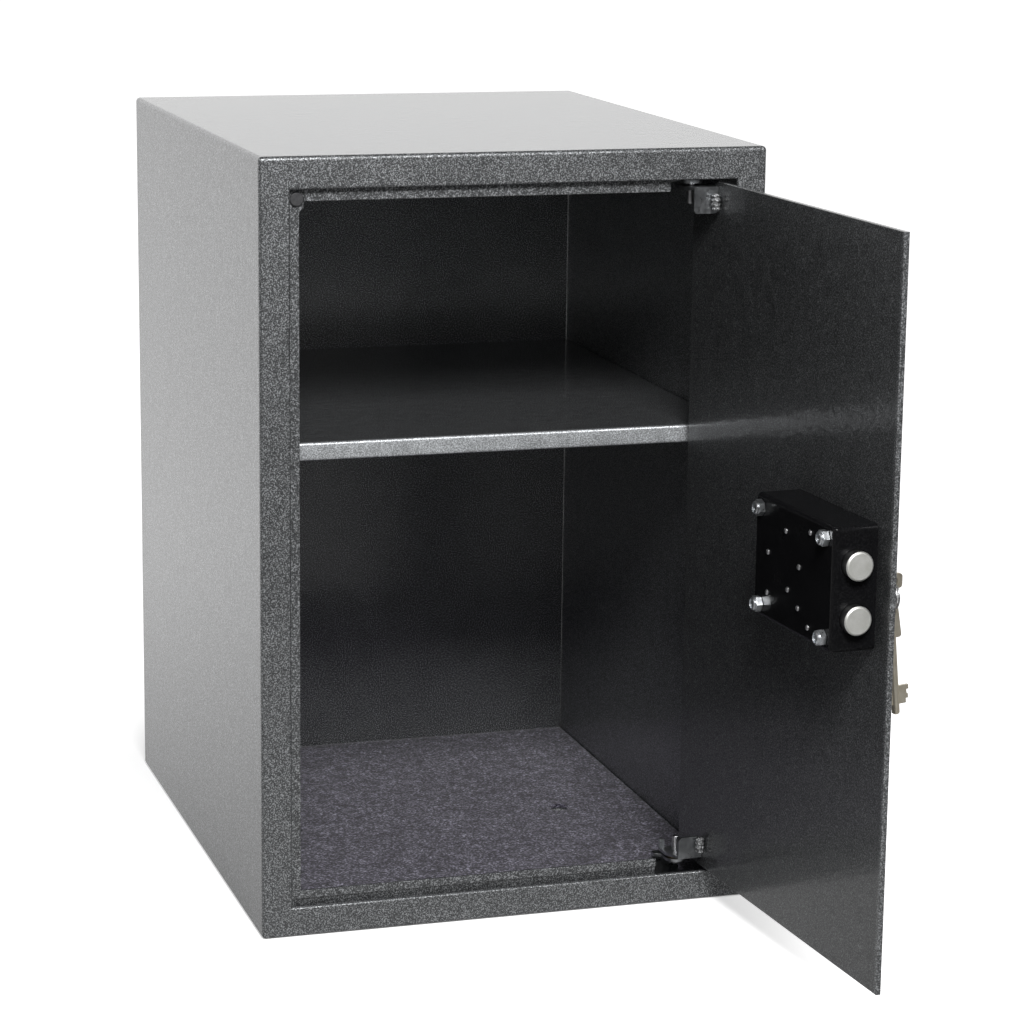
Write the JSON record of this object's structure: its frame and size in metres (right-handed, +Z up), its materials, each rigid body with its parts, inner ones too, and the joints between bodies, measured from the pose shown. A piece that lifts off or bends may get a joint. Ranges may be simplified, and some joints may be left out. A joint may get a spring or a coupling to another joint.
{
  "type": "safe",
  "caption": "Upright steel safe with an inset side-hung door on concealed pivots, a key-turned lever lock that throws round bolts, a lift-out shelf and a felt floor mat.",
  "frame": {"origin": "centre of the cabinet's base, on the surface it stands on", "axes": "+Z up, -Y out of the front, +Y into the wall behind, +X to the hinge side"},
  "size_m": [0.4099, 0.7203, 0.56],
  "materials": {
    "cabinet_paint": "graphite hammer-finish paint with a fine metallic speckle",
    "door_paint": "graphite hammer-finish paint with a fine metallic speckle",
    "cover_black": "gloss black",
    "zinc_plate": "bright zinc plate",
    "plain_steel": "plain bright steel",
    "bolt_steel": "turned satin steel",
    "lever_brass": "stamped brass",
    "key_nickel": "nickel-plated key metal",
    "buffer_rubber": "matt black rubber",
    "mat_felt": "needled felt"
  },
  "bodies": {
    "cabinet": {"body_shell": "cabinet_paint", "back_panel": "cabinet_paint", "stop_top": "cabinet_paint", "stop_side": "cabinet_paint", "stop_bottom": "cabinet_paint", "door_buffer": "buffer_rubber", "hinge_bracket_top": "zinc_plate", "hinge_bracket_bottom": "zinc_plate", "hinge_pin_top": "plain_steel", "hinge_pin_bottom": "plain_steel", "hinge_washer": "lever_brass", "shelf_rail_left": "cabinet_paint", "shelf_rail_right": "cabinet_paint", "floor_mat": "mat_felt"},
    "door": {"door_panel": "door_paint", "hinge_leaf_top": "zinc_plate", "hinge_leaf_bottom": "zinc_plate", "leaf_weld_top": "zinc_plate", "leaf_weld_bottom": "zinc_plate", "keyhole_plate": "zinc_plate", "lock_cover": "cover_black", "lock_plate": "plain_steel", "spring_comb": "plain_steel", "cover_stud_1": "zinc_plate", "cover_stud_2": "zinc_plate", "cover_stud_3": "zinc_plate", "cover_stud_4": "zinc_plate", "cover_nut_1": "zinc_plate", "cover_nut_2": "zinc_plate", "cover_nut_3": "zinc_plate", "cover_nut_4": "zinc_plate", "case_pillar_1": "plain_steel", "case_pillar_2": "plain_steel", "case_pillar_3": "plain_steel", "case_pillar_4": "plain_steel", "guide_pin_upper": "plain_steel", "guide_pin_lower": "plain_steel", "arm_post": "plain_steel", "drum_pivot": "plain_steel"},
    "shelf": {"shelf": "cabinet_paint"},
    "drum": {"lock_drum": "plain_steel"},
    "boltwork": {"bolt_carriage": "plain_steel", "locking_bolt_upper": "bolt_steel", "locking_bolt_lower": "bolt_steel"},
    "key": {"key_in_lock": "key_nickel"},
    "ring": {"key_ring": "plain_steel"},
    "spare": {"spare_key": "key_nickel"},
    "lever_1_plate": {"lever_1": "lever_brass"},
    "lever_2_plate": {"lever_2": "lever_brass"},
    "lever_3_plate": {"lever_3": "lever_brass"},
    "lever_4_plate": {"lever_4": "lever_brass"}
  },
  "joints": [
    {"name": "door_hinge", "type": "hinge", "parent": "cabinet", "child": "door", "pos_m": [0.1345, -0.2041, 0.28], "axis": [0, 0, 1], "range_deg": [-94, 16]},
    {"name": "shelf_lift", "type": "slide", "parent": "cabinet", "child": "shelf", "axis": [0, 0, 1], "range_m": [0, 0.08]},
    {"name": "key_turn", "type": "hinge", "parent": "door", "child": "drum", "pos_m": [0.16754, -0.4128, 0.285], "axis": [0.9976, 0.0698, 0], "range_deg": [0, 180]},
    {"name": "bolt_throw", "type": "slide", "parent": "door", "child": "boltwork", "axis": [0.0698, -0.9976, 0], "range_m": [0, 0.022]},
    {"name": "key_withdraw", "type": "slide", "parent": "drum", "child": "key", "axis": [0.9976, 0.0698, 0], "range_m": [0, 0.035]},
    {"name": "ring_swing", "type": "hinge", "parent": "key", "child": "ring", "pos_m": [0.20984, -0.40985, 0.285], "axis": [0.0698, -0.9976, 0], "range_deg": [-8, 188]},
    {"name": "spare_key_slide", "type": "hinge", "parent": "ring", "child": "spare", "pos_m": [0.20984, -0.40985, 0.2739], "axis": [0.9976, 0.0698, 0], "range_deg": [-45, 45]},
    {"name": "lever_1_lift", "type": "slide", "parent": "door", "child": "lever_1_plate", "axis": [0, 0, 1], "range_m": [0, 0.0016]},
    {"name": "lever_2_lift", "type": "slide", "parent": "door", "child": "lever_2_plate", "axis": [0, 0, 1], "range_m": [0, 0.0016]},
    {"name": "lever_3_lift", "type": "slide", "parent": "door", "child": "lever_3_plate", "axis": [0, 0, 1], "range_m": [0, 0.0016]},
    {"name": "lever_4_lift", "type": "slide", "parent": "door", "child": "lever_4_plate", "axis": [0, 0, 1], "range_m": [0, 0.0016]}
  ],
  "couplings": [
    {"joint": "key_turn", "follows": "bolt_throw", "rad_per_m": 142.8}
  ]
}
